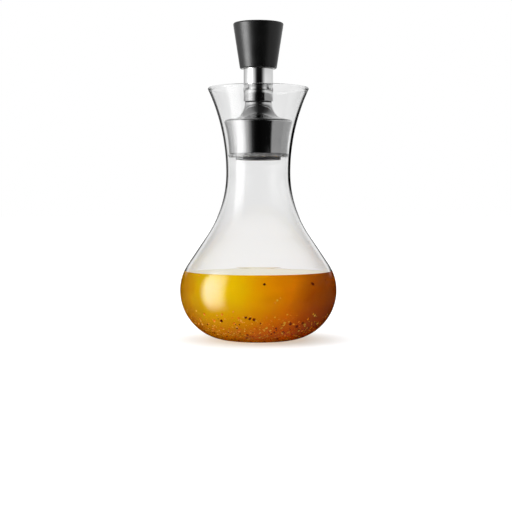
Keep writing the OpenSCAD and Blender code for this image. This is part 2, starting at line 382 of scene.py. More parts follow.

# %% [markdown]
# ## Dressing
# Oil and vinegar shaken together is cloudy: fine drops scatter light, and the spices stain it
# amber. Blue is absorbed first and green next, so light turns yellow, then orange, then brown the
# further it travels. One volume with absorption and scattering does that. The skin carries painted
# shade as well: yellow on the left, where the soft box lights it, brown on the right, and darker
# and redder towards the bottom. The level top gets a mirror of its own, because oil floats there.

# %% Dressing finish
# Painted shade across the dressing, yellow on the lit left and brown on the right: millimetres
# across, and a tint.
PAINTED_SIDE_SHADE = [(-47, "C49B19"), (-40, "D7BA19"), (-31, "F1FC19"), (-20, "FFFF19"), (-12, "FEF719"),
         (4, "FFCE19"), (12, "FFBD19"), (19, "F9A819"), (27, "D08019"), (34, "AD6119"),
         (43, "904C19")]
OIL_IOR = 1.46


def vinaigrette():
    material, out = new_material("vinaigrette")
    tree = material.node_tree
    where = add(tree, "ShaderNodeTexCoord").outputs["Object"]
    place = add(tree, "ShaderNodeSeparateXYZ", {0: where}).outputs
    drift = add(tree, "ShaderNodeTexNoise", {
        "Vector": where, "Scale": 1 / (26.3 * MM), "Detail": 3.0})
    sway = add(tree, "ShaderNodeMapRange", {
        "Value": drift.outputs["Fac"], "To Min": -10 * MM, "To Max": 10 * MM})
    across = add(tree, "ShaderNodeMath", {0: place["X"], 1: sway.outputs[0]}, operation="ADD")
    along = add(tree, "ShaderNodeMapRange", {
        "Value": across.outputs[0], "From Min": -BELLY_R, "From Max": BELLY_R})
    # The tint across is painted shade: bright yellow on the left, where the soft box lights the
    # dressing, and brown on the right.
    blend = add(tree, "ShaderNodeValToRGB", {"Fac": along.outputs[0]})
    set_stops(blend, [((x * MM + BELLY_R) / (2 * BELLY_R), srgb(tint)) for x, tint in PAINTED_SIDE_SHADE])
    # Painted shade: the dressing gets darker and redder towards the bottom, where less light
    # reaches.
    lower_down = add(tree, "ShaderNodeMapRange", {
        "Value": place["Z"], "From Min": 32 * MM, "From Max": 3 * MM},
        interpolation_type="SMOOTHSTEP")
    painted_low_shade = add(tree, "ShaderNodeMix", {
        "Factor": lower_down.outputs[0], "A": srgb("FFFFFF"), "B": srgb("E79BAA")},
        data_type="RGBA")
    painted_shade_tint = add(tree, "ShaderNodeMix", {
        "Factor": 1.0, "A": blend.outputs["Color"], "B": painted_low_shade.outputs["Result"]},
        data_type="RGBA", blend_type="MULTIPLY")
    up = add(tree, "ShaderNodeSeparateXYZ", {
        0: add(tree, "ShaderNodeNewGeometry").outputs["True Normal"]}).outputs
    level = add(tree, "ShaderNodeMapRange", {
        "Value": up["Z"], "From Min": 0.80, "From Max": 0.98})
    side = add(tree, "ShaderNodeBsdfPrincipled", {
        "Base Color": painted_shade_tint.outputs["Result"], "Roughness": 0.0, "IOR": OIL_IOR,
        "Transmission Weight": 1.0, "Specular Tint": grey(0.1)})
    below = add(tree, "ShaderNodeBsdfRefraction", {
        "Color": srgb("F3F995"), "Roughness": 0.0, "IOR": OIL_IOR})
    film = add(tree, "ShaderNodeBsdfGlossy", {"Color": srgb("FFFCED"), "Roughness": 0.02})
    slant = add(tree, "ShaderNodeMath", {
        0: add(tree, "ShaderNodeFresnel", {"IOR": OIL_IOR}).outputs[0], 1: 1.3},
        operation="MULTIPLY", use_clamp=True)
    top = add(tree, "ShaderNodeMixShader", {
        0: slant.outputs[0], 1: below.outputs[0], 2: film.outputs[0]})
    skin = add(tree, "ShaderNodeMixShader", {
        0: level.outputs[0], 1: side.outputs[0], 2: top.outputs[0]})
    # The absorption colour is the share of red, green and blue that passes, not a screen colour.
    stain = add(tree, "ShaderNodeVolumeAbsorption", {
        "Color": (0.998, 0.925, 0.1, 1.0), "Density": 90.0})
    cloud = add(tree, "ShaderNodeVolumeScatter", {
        "Color": grey(1.0), "Density": 55.0, "Anisotropy": 0.0})
    both = add(tree, "ShaderNodeAddShader", {0: stain.outputs[0], 1: cloud.outputs[0]})
    tree.links.new(skin.outputs[0], out.inputs["Surface"])
    tree.links.new(both.outputs[0], out.inputs["Volume"])
    return material


dressing_finish = vinaigrette()
print("made", dressing_finish.name)

# %% [markdown]
# The dressing's shell reaches a little into the glass. Rays then go from glass to liquid with no
# film of air between, which would look like a silver skin. Its level creeps up a little at the
# wall, so the edge of the surface is a soft line.

# %% Dressing
OVERLAP = 0.12 * MM
CREEP_H = 0.1 * MM
CREEP_W = 1.5 * MM
CREEP_STEPS = 8
wet = WALL - OVERLAP
fill_angle = math.degrees(math.asin((FILL_Z + CREEP_H - BELLY_Z) / (SHOULDER_R - wet)))
wetted = ([(0, FLOOR_T - OVERLAP)] + base_line(wet, FLOOR_T - OVERLAP)
          + arc(BELLY_R - SHOULDER_R, BELLY_Z, SHOULDER_R - wet, 0, fill_angle, 20))
contact_r = wetted[-1][0]
meniscus = [(contact_r - CREEP_W * i / CREEP_STEPS, FILL_Z + CREEP_H * (1 - i / CREEP_STEPS) ** 3)
            for i in range(1, CREEP_STEPS + 1)]
dressing = turn_on_lathe("dressing_liquid", wetted + meniscus + [(0, FILL_Z)], dressing_finish,
                         steps=176, crease=40)
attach(dressing, "bottle_body")
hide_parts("dressing")

# %% [markdown]
# ## Herbs and spices
# Ground mustard, garlic and pepper sink, and lie thickest on the lowest part of the wall. A bowl
# just inside the glass is scattered with points, thinning out upwards, and each point gets a
# chip: a small knobbly grain, squashed flat against the wall and turned at random. The largest
# flakes hang higher up behind the front wall, at places that are given one by one.

# %% The scatter
CHIP_AIM_Z = 25 * MM
CHIP_TILT = 0.5
CHIP_SPIN = 6.28


def build_chips():
    tree, given = start_tree("chips", {
        "Grains per m2": "Float", "Top height": "Float", "Smallest": "Float", "Largest": "Float",
        "Seed": "Int", "On given points": "Bool", "Finish": "Material"})
    place = add(tree, "GeometryNodeInputPosition").outputs[0]
    height = add(tree, "ShaderNodeSeparateXYZ", {0: place}).outputs["Z"]
    lower_down = add(tree, "ShaderNodeMapRange", {
        "Value": height, "From Min": given["Top height"], "From Max": 4 * MM,
        "To Min": 0.0, "To Max": 1.0})
    thick = add(tree, "ShaderNodeMath", {0: lower_down.outputs[0], 1: 1.8}, operation="POWER")
    spread = add(tree, "GeometryNodeDistributePointsOnFaces", {
        "Mesh": given["Geometry"], "Distance Min": 0.6 * MM,
        "Density Max": given["Grains per m2"], "Density Factor": thick.outputs[0],
        "Seed": given["Seed"]}, distribute_method="POISSON")
    where = add(tree, "GeometryNodeSwitch", {
        "Switch": given["On given points"], "False": spread.outputs["Points"],
        "True": given["Geometry"]}, input_type="GEOMETRY")
    pebble = add(tree, "GeometryNodeMeshIcoSphere", {"Radius": 1.0, "Subdivisions": 2})
    bumps = add(tree, "ShaderNodeTexNoise", {"Vector": place, "Scale": 1.1, "Detail": 1.0})
    grow = add(tree, "ShaderNodeMapRange", {
        "Value": bumps.outputs["Fac"], "From Min": 0.3, "From Max": 0.7,
        "To Min": 0.55, "To Max": 1.1})
    lumpy = add(tree, "ShaderNodeVectorMath", {0: place, "Scale": grow.outputs[0]},
                operation="SCALE")
    grain = add(tree, "GeometryNodeSetPosition", {
        "Geometry": pebble.outputs["Mesh"], "Position": lumpy.outputs[0]})
    outward = add(tree, "ShaderNodeVectorMath", {0: place, 1: (0, 0, -CHIP_AIM_Z)},
                  operation="ADD")
    facing = add(tree, "FunctionNodeAlignRotationToVector", {"Vector": outward.outputs[0]},
                 axis="Z")
    spin = add(tree, "FunctionNodeRandomValue", {
        "Min": (-CHIP_TILT, -CHIP_TILT, 0.0), "Max": (CHIP_TILT, CHIP_TILT, CHIP_SPIN),
        "Seed": given["Seed"]}, data_type="FLOAT_VECTOR")
    turn = add(tree, "FunctionNodeRotateRotation", {
        "Rotation": facing.outputs[0],
        "Rotate By": add(tree, "FunctionNodeEulerToRotation", {0: spin.outputs[0]}).outputs[0]},
        rotation_space="LOCAL")
    size = add(tree, "FunctionNodeRandomValue", {
        "Min": given["Smallest"], "Max": given["Largest"], "Seed": given["Seed"]},
        data_type="FLOAT")
    shape = add(tree, "FunctionNodeRandomValue", {
        "Min": (0.7, 0.45, 0.3), "Max": (1.0, 0.9, 0.45), "Seed": given["Seed"]},
        data_type="FLOAT_VECTOR")
    scale = add(tree, "ShaderNodeVectorMath", {
        0: shape.outputs[0], "Scale": size.outputs[1]}, operation="SCALE")
    grains = add(tree, "GeometryNodeInstanceOnPoints", {
        "Points": where.outputs[0], "Instance": grain.outputs[0],
        "Rotation": turn.outputs[0], "Scale": scale.outputs[0]})
    end_tree(tree, grains.outputs[0], given["Finish"])
    return tree


chip_tree = build_chips()
print("chip tree has", len(chip_tree.nodes), "nodes")

# %% Finishes of the grains
PATCH_OF_SPICE = 3 * MM


def ground_spice(name, first, second):
    """Ground spice in two colours that change from place to place. In oil it hardly shines."""
    material, out = new_material(name)
    tree = material.node_tree
    where = add(tree, "ShaderNodeTexCoord")
    kinds = add(tree, "ShaderNodeTexNoise", {
        "Vector": where.outputs["Object"], "Scale": 1 / PATCH_OF_SPICE, "Detail": 1.0})
    choice = add(tree, "ShaderNodeMapRange", {
        "Value": kinds.outputs["Fac"], "From Min": 0.4, "From Max": 0.6})
    colour = add(tree, "ShaderNodeMix", {
        "Factor": choice.outputs[0], "A": srgb(first), "B": srgb(second)}, data_type="RGBA")
    rough = add(tree, "ShaderNodeMapRange", {
        "Value": kinds.outputs["Fac"], "To Min": 0.4, "To Max": 0.7})
    body = add(tree, "ShaderNodeBsdfPrincipled", {
        "Base Color": colour.outputs["Result"], "Roughness": rough.outputs[0], "IOR": 1.08})
    tree.links.new(body.outputs[0], out.inputs["Surface"])
    return material


mustard = ground_spice("ground_mustard_and_garlic", "FFE25A", "F8A024")
pepper = ground_spice("ground_black_pepper", "702608", "3C1204")
print("made", mustard.name, "and", pepper.name)

# %% Herbs and spices
GRAIN_INSET = WALL - 0.17 * MM
BOWL_Z = FLOOR_T + 0.5 * MM
GRAIN_POINTS = 42
# The larger flakes: millimetres across and up, as they show from the front.
SUSPENDED_DARK = [(3.7, 38.9), (33.4, 38.3), (41.4, 40.1), (-5.2, 18.0), (-2.7, 17.4),
                  (-7.6, 18.6), (-22.6, 16.1), (19.6, 14.2), (23.5, 12.5), (27.2, 14.3),
                  (30.7, 11.0)]
SUSPENDED_PALE = [(-36.6, 43.0), (-44.2, 21.2), (11.4, 29.3), (10.1, 27.5), (13.2, 30.5),
                  (-4.6, 19.3), (-1.5, 16.7)]

def wall_radius(z, inset):
    """The inner wall's radius at a height, moved inward by inset."""
    if z > BELLY_Z:
        return BELLY_R - SHOULDER_R + math.sqrt((SHOULDER_R - inset) ** 2 - (z - BELLY_Z) ** 2)
    drop = (BELLY_Z - z) / (BELLY_Z - FLOOR_T - inset + WALL)
    return FOOT_R + (BELLY_Z - inset) * math.sqrt(max(0.0, 1 - drop * drop))


def at_front(places):
    """Points just behind the front wall, from millimetres across and up."""
    points = []
    for x, z in places:
        r = wall_radius(z * MM, GRAIN_INSET)
        points.append((x * MM, -math.sqrt(max(0.0, r * r - (x * MM) ** 2)), z * MM))
    cloud = bpy.data.meshes.new("specks")
    cloud.from_pydata(points, [], [])
    return cloud


bowl_row = profile_row("bowl", [(0, BOWL_Z)] + base_line(GRAIN_INSET, BOWL_Z))
bowl = run_tree("bowl", bowl_row, lathe_tree, {"Steps round": 96, "Finish": mustard})
for name, source, finish, density, top, small, large, seed, given in (
        ("mustard_grains", bowl.data, mustard, 460000.0, 25.0, 0.5, 1.45, 7, False),
        ("pepper_grains", bowl.data, pepper, 110000.0, 21.0, 0.4, 1.1, 23, False),
        ("pale_specks", at_front(SUSPENDED_PALE), mustard, 0.0, 50.0, 0.7, 1.0, 3, True),
        ("dark_specks", at_front(SUSPENDED_DARK), pepper, 0.0, 50.0, 1.1, 1.6, 5, True)):
    grains = run_tree(name, source, chip_tree, {
        "Grains per m2": density, "Top height": top * MM, "Smallest": small * MM,
        "Largest": large * MM, "Seed": seed, "On given points": given, "Finish": finish})
    grains.data.shade_smooth()
    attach(grains, "bottle_body")
    print(name, len(grains.data.vertices) // GRAIN_POINTS, "grains")
bpy.data.objects.remove(bowl)

# %% [markdown]
# ## Polished steel
# Collar, spout and stem are stainless steel, pressed and then polished on a wheel. The finish is
# nearly a mirror, with hair-fine lines round the axis and a faint haze.

# %% Steel finishes
HAIRS_PER_MM = 9


def polished_steel():
    material, out = new_material("wheel_polished_stainless_steel")
    tree = material.node_tree
    where = add(tree, "ShaderNodeTexCoord")
    lines = add(tree, "ShaderNodeMapping", {
        "Vector": where.outputs["Object"], "Scale": (0.06 / MM, 0.06 / MM, HAIRS_PER_MM / MM)})
    hair = add(tree, "ShaderNodeTexNoise", {
        "Vector": lines.outputs[0], "Scale": 1.0, "Detail": 3.0})
    haze = add(tree, "ShaderNodeTexNoise", {
        "Vector": where.outputs["Object"], "Scale": 1 / (7.14 * MM), "Detail": 4.0})
    rough = add(tree, "ShaderNodeMapRange", {
        "Value": haze.outputs["Fac"], "From Min": 0.35, "From Max": 0.7,
        "To Min": 0.05, "To Max": 0.10})
    bump = add(tree, "ShaderNodeBump", {
        "Height": hair.outputs["Fac"], "Strength": 0.05, "Distance": 0.02 * MM})
    metal = add(tree, "ShaderNodeBsdfPrincipled", {
        "Base Color": srgb("D5D5D5"), "Metallic": 1.0, "Roughness": rough.outputs["Result"],
        "Base Color": srgb("D5D5D5"), "Metallic": 1.0, "Roughness": rough.outputs["Result"],
        "Normal": bump.outputs[0]})
    tree.links.new(metal.outputs[0], out.inputs["Surface"])
    return material


steel = polished_steel()
print("made", steel.name)

# %% [markdown]
# ## Collar
# The collar is a pressed shell. Its skirt sweeps outward like the glass, its shoulder turns over
# a small radius, and its top dips by a hair where the spout is seated.

# %% Collar
STEEL_T = 0.8 * MM
COLLAR_R = 19.05 * MM
COLLAR_SWEEP = 68 * MM
COLLAR_H = 19.7 * MM
SEAT_R = spout_high.x + 0.05 * MM
SEAT_Z = spout_low.z
edge_r = COLLAR_R + COLLAR_SWEEP - math.sqrt(COLLAR_SWEEP ** 2 - COLLAR_H ** 2)
edge_z = collar_low.z + COLLAR_H


def skirt(inset, steps=30):
    """The skirt's sweep from its lower edge to its shoulder."""
    rise = math.degrees(math.asin((COLLAR_H - 0.4 * MM) / (COLLAR_SWEEP + inset)))
    return arc(COLLAR_R + COLLAR_SWEEP, collar_low.z, COLLAR_SWEEP + inset, 180, 180 - rise, steps)


shoulder = arc(edge_r - 1.5 * MM, edge_z + 0.6 * MM, 1.6 * MM, -15, 78, 12)
top = [(SEAT_R, SEAT_Z + 0.5 * MM), (SEAT_R, SEAT_Z), (10.5 * MM, SEAT_Z),
       (10.5 * MM, SEAT_Z - STEEL_T), (SEAT_R, SEAT_Z - STEEL_T),
       (edge_r - 2.4 * MM, edge_z + 1.5 * MM)]
collar_profile = skirt(0) + shoulder + top + skirt(STEEL_T)[::-1]
collar = turn_on_lathe("collar_shell", collar_profile + collar_profile[:1], steel, steps=192)
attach(collar, "pourer")
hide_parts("collar")

# %% [markdown]
# ## Spout
# The spout is a steel trumpet. A quarter of an ellipse carries it from its upright rim to its
# flat foot, and the rim is rolled so that drops run back in.

# %% Spout
SPOUT_R = 8.85 * MM
FOOT_EDGE_R = spout_high.x
span_r = FOOT_EDGE_R - SPOUT_R
span_z = spout_high.z - spout_low.z - 0.5 * MM


def trumpet(angle, inset):
    """A point of the spout's wall: 90 degrees is the foot, 0 the rim."""
    a = math.radians(angle)
    return (FOOT_EDGE_R - (span_r + inset) * math.cos(a),
            spout_high.z - (span_z + inset) * math.sin(a))


spout_profile = ([trumpet(90 - 3 * i, 0) for i in range(29)]
                 + arc(SPOUT_R - STEEL_T / 2, spout_high.z - STEEL_T / 2, STEEL_T / 2, 0, 180, 10)
                 + [trumpet(8 + 4 * i, STEEL_T) for i in range(16)]
                 + [(FOOT_EDGE_R - 3.4 * MM, spout_low.z), (FOOT_EDGE_R, spout_low.z)])
spout = turn_on_lathe("spout_trumpet", spout_profile + spout_profile[:1], steel, steps=160)
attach(spout, "pourer")
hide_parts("spout")

# %% [markdown]
# ## Stem
# The stem is a polished tube between the grip and the spout. Its lower edge is broken slightly,
# so a bright line shows over the dark gasket.

# %% Stem
STEM_R = stem_high.x
STEM_IN_R = STEM_R - 0.9 * MM
stem_profile = rounded([
    (STEM_R, stem_low.z, 0.3 * MM), (STEM_R, stem_high.z, 0.15 * MM),
    (STEM_IN_R, stem_high.z, 0), (STEM_IN_R, stem_low.z, 0)])
stem = turn_on_lathe("stem_tube", stem_profile, steel, steps=160)
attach(stem, "stopper")
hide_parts("stem_sleeve")

# %% [markdown]
# ## Grip
# The grip is a hard black rubber moulded over a core. The mould was blasted, so the surface is
# matt with a very fine grain, and light slides off it as a soft grey band.

# %% Black rubber finish
def matt_rubber(name, colour, roughness, grain_mm, depth_mm):
    """Black rubber as moulded: one grain size, slight wear and dust as roughness patches."""
    material, out = new_material(name)
    tree = material.node_tree
    where = add(tree, "ShaderNodeTexCoord")
    grain = add(tree, "ShaderNodeTexNoise", {
        "Vector": where.outputs["Object"], "Scale": 1 / (grain_mm * MM), "Detail": 2.0})
    patches = add(tree, "ShaderNodeTexNoise", {
        "Vector": where.outputs["Object"], "Scale": 1 / (6.25 * MM), "Detail": 5.0})
    rough = add(tree, "ShaderNodeMapRange", {
        "Value": patches.outputs["Fac"], "From Min": 0.3, "From Max": 0.7,
        "To Min": roughness - 0.04, "To Max": roughness + 0.05})
    bump = add(tree, "ShaderNodeBump", {
        "Height": grain.outputs["Fac"], "Strength": 0.3, "Distance": depth_mm * MM})
    body = add(tree, "ShaderNodeBsdfPrincipled", {
        "Base Color": srgb(colour), "Roughness": rough.outputs["Result"], "IOR": 1.5,
        "Normal": bump.outputs[0]})
    tree.links.new(body.outputs[0], out.inputs["Surface"])
    return material


# The real grain is finer than a pixel, so it is drawn at 0.5 mm.
grip_rubber = matt_rubber("blasted_black_rubber", "030303", 0.34, 0.5, 0.02)
ring_rubber = matt_rubber("smooth_black_nitrile", "0C0C0D", 0.35, 0.8, 0.01)
print("made", grip_rubber.name, "and", ring_rubber.name)

# %% Grip
GRIP_TOP_R = 16.4 * MM
GRIP_LOW_R = 11.85 * MM
GRIP_EDGE = 1.0 * MM
top_z = grip_high.z
DOME = 0.25 * MM
grip_outline = rounded([
    (GRIP_LOW_R - 1.25 * MM, grip_low.z, 0),
    (GRIP_LOW_R, grip_low.z, GRIP_EDGE * 0.9),
    (GRIP_TOP_R, top_z - DOME, GRIP_EDGE),
    (0, top_z, 0),
    (0, top_z - 3.2 * MM, 0),
    (GRIP_TOP_R - 2.3 * MM, top_z - 3.2 * MM, 0)], steps=8)
grip = turn_on_lathe("grip_moulding", grip_outline[:-1], grip_rubber, steps=160)
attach(grip, "stopper")
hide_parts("grip")

# %% [markdown]
# ## Silicone seal
# The seal is cloudy clear silicone. Light passes in, is scattered and comes out grey-white, so it
# looks like frosted glass with soft edges.

# %% Silicone
def cloudy_silicone():
    material, out = new_material("cloudy_silicone_rubber")
    tree = material.node_tree
    where = add(tree, "ShaderNodeTexCoord")
    cloud = add(tree, "ShaderNodeTexNoise", {
        "Vector": where.outputs["Object"], "Scale": 1 / (4.55 * MM), "Detail": 3.0})
    rough = add(tree, "ShaderNodeMapRange", {
        "Value": cloud.outputs["Fac"], "To Min": 0.12, "To Max": 0.22})
    body = add(tree, "ShaderNodeBsdfPrincipled", {
        "Base Color": srgb("ECECEC"), "Roughness": rough.outputs["Result"], "IOR": 1.41,
        "Transmission Weight": 0.82})
    tree.links.new(body.outputs[0], out.inputs["Surface"])
    return material


silicone = cloudy_silicone()
NOSE = 0.8 * MM
SEAL_IN_R = seal_high.x - 8.3 * MM
seal_profile = rounded([
    (SEAL_IN_R, seal_low.z, 0),
    (seal_high.x - 0.25 * MM, seal_low.z, NOSE),
    (seal_high.x, seal_high.z, 0.2 * MM),
    (SEAL_IN_R, seal_high.z, 0)])
seal = turn_on_lathe("silicone_seal", seal_profile, silicone, steps=160)
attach(seal, "pourer")
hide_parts("seal_ring")

# %% [markdown]
# ## Moulded plastic and plain steel
# The core, the plug and the nuts are hidden or nearly so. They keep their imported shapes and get
# the finishes of moulded polypropylene and turned steel.

# %% Hidden finishes
TOOL_MARKS_PER_MM = 4


def moulded_plastic():
    material, out = new_material("grey_moulded_polypropylene")
    tree = material.node_tree
    where = add(tree, "ShaderNodeTexCoord")
    flow = add(tree, "ShaderNodeTexNoise", {
        "Vector": where.outputs["Object"], "Scale": 1 / (3.33 * MM), "Detail": 4.0})
    rough = add(tree, "ShaderNodeMapRange", {
        "Value": flow.outputs["Fac"], "To Min": 0.35, "To Max": 0.5})
    shade = add(tree, "ShaderNodeMix", {
        "Factor": flow.outputs["Fac"], "A": srgb("2E2E30"), "B": srgb("38383A")},
        data_type="RGBA")
    body = add(tree, "ShaderNodeBsdfPrincipled", {
        "Base Color": shade.outputs["Result"], "Roughness": rough.outputs["Result"],
        "IOR": 1.49})
    tree.links.new(body.outputs[0], out.inputs["Surface"])
    return material


def turned_steel():
    material, out = new_material("turned_stainless_steel")
    tree = material.node_tree
    where = add(tree, "ShaderNodeTexCoord")
    lines = add(tree, "ShaderNodeMapping", {
        "Vector": where.outputs["Object"], "Scale": (0.1 / MM, 0.1 / MM, TOOL_MARKS_PER_MM / MM)})
    marks = add(tree, "ShaderNodeTexNoise", {"Vector": lines.outputs[0], "Scale": 1.0})
    bump = add(tree, "ShaderNodeBump", {
        "Height": marks.outputs["Fac"], "Strength": 0.3, "Distance": 0.03 * MM})
    body = add(tree, "ShaderNodeBsdfPrincipled", {
        "Base Color": srgb("C4C3C0"), "Metallic": 1.0, "Roughness": 0.3,
        "Normal": bump.outputs[0]})
    tree.links.new(body.outputs[0], out.inputs["Surface"])
    return material


plastic = moulded_plastic()
plain_steel = turned_steel()
FINISHES = {
    "grey_moulding": plastic,
    "plain_steel": plain_steel,
    "polished_steel": steel,
    "clear_silicone": silicone,
    "black_rubber": ring_rubber,
    "black_grip": grip_rubber,
    "clear_glass": glass,
    "vinaigrette": dressing_finish,
}
for part in frame["record"]["subparts"]:
    node = frame["nodes"][part["node"]]
    node.data.materials.clear()
    node.data.materials.append(FINISHES[part["material_slot"]])

# %% [markdown]
# ## Light
# Glass has hardly any look of its own: it shows the room. The studio here is a bright-field set,
# the usual one for glass: a white backdrop, and darkness on the eye's side of the room, so that
# light which the glass throws back draws dark lines. A tall soft box stands close on the left and
# a pale card on the right. The world paints this room by compass direction with colour ramps:
# one at the horizon and below, one a little above it, one overhead, and one for light that has
# run along a wall of the glass.

# %% Compass ramps
# Compass in degrees: 0 is towards the eye, 90 to the right, -90 to the left, 180 behind.
LEVEL_ROOM = [(-180, 0.89), (-155, 0.89), (-138, 0.5), (-120, 0.9), (-94, 1.2), (-64, 1.3),
              (-39, 1.2), (-28, 0.6), (-15, 0.05), (-8, 0.006), (24, 0.006), (31, 0.15),
              (42, 0.6), (56, 1.1), (84, 1.04), (120, 0.96), (138, 0.88), (180, 0.89)]
LOW_ROOM = [(-180, 0.89), (-160, 0.5), (-138, 0.3), (-120, 0.7), (-100, 0.9), (-68, 0.92),
            (-50, 0.82), (-40, 0.55), (-32, 0.27), (-22, 0.035), (-12, 0.005), (0, 0.002),
            (46, 0.006), (53, 0.40), (125, 0.42), (150, 0.5), (165, 0.89), (180, 0.89)]
HIGH_ROOM = [(-180, 0.6), (-150, 0.45), (-110, 0.4), (-70, 0.3), (-30, 0.08), (0, 0.015),
             (50, 0.02), (90, 0.07), (120, 0.25), (150, 0.45), (180, 0.6)]
# What the outermost hair of a glass wall shows: light that has been mirrored inside one wall.
EDGE_ROOM = [(-180, 0.10), (-152, 0.04), (-145, 0.92), (-138, 0.92), (-110, 0.3), (-80, 0.02),
             (0, 0.002), (80, 0.02), (110, 0.3), (130, 0.92), (138, 0.92), (145, 0.0), (180, 0.0)]
# A ramp holds colours up to 1 and the room has brighter places, so the ramps hold its levels
# divided by this, and the world's strength brings them back.
GAIN = 2.0
BACKDROP = 0.89
PALE = 0.92


def compass_ramp(tree, turn, levels):
    """The room's levels all round the compass."""
    ramp = add(tree, "ShaderNodeValToRGB", {"Fac": turn})
    set_stops(ramp, [((degrees + 180) / 360, grey(level / GAIN)) for degrees, level in levels])
    return ramp.outputs["Color"]


print(len(LEVEL_ROOM), "level stops and", len(LOW_ROOM), "low stops")

# %% [markdown]
# A studio photographer shades each piece from the others with flags and cards. Here the world and
# the lamps ask of each ray where it has been: whether it was scattered in the dressing, and
# whether a mirror has turned it. Two small tests answer that from the ray's counts.

# %% Where a ray has been
def was_scattered(tree, path):
    """1 for a ray with more bounces than glass and mirrors account for, or else 0."""
    clear_bounces = add(tree, "ShaderNodeMath", {
        0: path["Transmission Depth"], 1: path["Glossy Depth"]}, operation="ADD")
    others = add(tree, "ShaderNodeMath", {0: path["Ray Depth"], 1: clear_bounces.outputs[0]},
                 operation="SUBTRACT")
    return add(tree, "ShaderNodeMath", {0: others.outputs[0], 1: 1.5},
               operation="GREATER_THAN").outputs[0]


def was_mirrored(tree, path):
    """1 for a ray that has been mirrored at least once, or else 0."""
    return add(tree, "ShaderNodeMath", {0: path["Glossy Depth"], 1: 0.5},
               operation="GREATER_THAN").outputs[0]


def crossed_two_faces(tree, path):
    """1 for a ray that has crossed two faces of glass, in and out of one wall, or else 0."""
    return add(tree, "ShaderNodeMath", {0: path["Transmission Depth"], 1: 2.0, 2: 0.5},
               operation="COMPARE").outputs[0]


def off_sharp_mirror(tree, path):
    """1 for a ray straight off a perfectly sharp mirror, such as the glass, or else 0."""
    return add(tree, "ShaderNodeMath", {0: path["Is Singular Ray"], 1: path["Is Reflection Ray"]},
               operation="MULTIPLY").outputs[0]


print("ray tests ready")

# %% Parts of the room
def room_around(tree, way, turn):
    """The room by direction: the low ring, and two that take over further up."""
    room = compass_ramp(tree, turn, LOW_ROOM)
    for levels, start, full in ((LEVEL_ROOM, 0.03, 0.075), (HIGH_ROOM, 0.1, 0.45)):
        above = add(tree, "ShaderNodeMapRange", {
            "Value": way["Z"], "From Min": start, "From Max": full},
            interpolation_type="SMOOTHSTEP")
        room = add(tree, "ShaderNodeMix", {
            "Factor": above.outputs[0], "A": room, "B": compass_ramp(tree, turn, levels)},
            data_type="RGBA").outputs["Result"]
    return room


def edge_room(tree, way, turn):
    """The room as the edge of a wall shows it, and pale where light slopes away behind."""
    tilt = add(tree, "ShaderNodeMath", {0: way["Z"]}, operation="ABSOLUTE")
    sloping = add(tree, "ShaderNodeMapRange", {
        "Value": tilt.outputs[0], "From Min": 0.06, "From Max": 0.16})
    behind = add(tree, "ShaderNodeMath", {0: way["Y"], 1: 0.0}, operation="GREATER_THAN")
    past_lip = add(tree, "ShaderNodeMath", {0: sloping.outputs[0], 1: behind.outputs[0]},
                   operation="MULTIPLY")
    return add(tree, "ShaderNodeMix", {
        "Factor": past_lip.outputs[0], "A": compass_ramp(tree, turn, EDGE_ROOM),
        "B": grey(PALE / GAIN)}, data_type="RGBA").outputs["Result"]


def edge_share(tree, path, way, scattered, mirrored):
    """How far a ray shows the edge's view: it was mirrored inside one wall, and leaves low."""
    one_wall = add(tree, "ShaderNodeMath", {0: crossed_two_faces(tree, path), 1: scattered},
                   operation="SUBTRACT", use_clamp=True)
    guided = add(tree, "ShaderNodeMath", {0: one_wall.outputs[0], 1: mirrored},
                 operation="MULTIPLY")
    ceiling = add(tree, "ShaderNodeMapRange", {
        "Value": way["Z"], "From Min": 0.15, "From Max": 0.35}, interpolation_type="SMOOTHSTEP")
    below = add(tree, "ShaderNodeMath", {0: guided.outputs[0], 1: ceiling.outputs[0]},
                operation="SUBTRACT", use_clamp=True)
    past_side = add(tree, "ShaderNodeMapRange", {
        "Value": way["Y"], "From Min": -0.6, "From Max": -0.2})
    return add(tree, "ShaderNodeMath", {0: below.outputs[0], 1: past_side.outputs[0]},
               operation="MULTIPLY").outputs[0]


def outline_sheen(tree, way):
    """What the glass mirrors at a grazing angle: only a pale strip above the horizon behind."""
    upward = add(tree, "ShaderNodeMapRange", {
        "Value": way["Z"], "From Min": 0.09, "From Max": 0.19, "To Min": 0.0,
        "To Max": 0.84 / GAIN})
    grazing = add(tree, "ShaderNodeMapRange", {
        "Value": way["Y"], "From Min": 0.72, "From Max": 0.90}, interpolation_type="SMOOTHSTEP")
    return add(tree, "ShaderNodeMath", {0: upward.outputs[0], 1: grazing.outputs[0]},
               operation="MULTIPLY").outputs[0]


print("room parts ready")

# %% World
def lit_room(tree, path, room, scattered):
    """The room, with a fill added for light that the dressing has scattered."""
    fill = add(tree, "ShaderNodeMix", {
        "Factor": 1.0, "A": room, "B": grey(PALE / GAIN)}, data_type="RGBA", blend_type="ADD")
    neck_only = add(tree, "ShaderNodeMath", {
        0: path["Transmission Depth"], 1: 4.0, 2: 1.5}, operation="COMPARE")
    stained = add(tree, "ShaderNodeMath", {0: scattered, 1: neck_only.outputs[0]},
                  operation="SUBTRACT", use_clamp=True)
    return add(tree, "ShaderNodeMix", {
        "Factor": stained.outputs[0], "A": room, "B": fill.outputs["Result"]},
        data_type="RGBA").outputs["Result"]


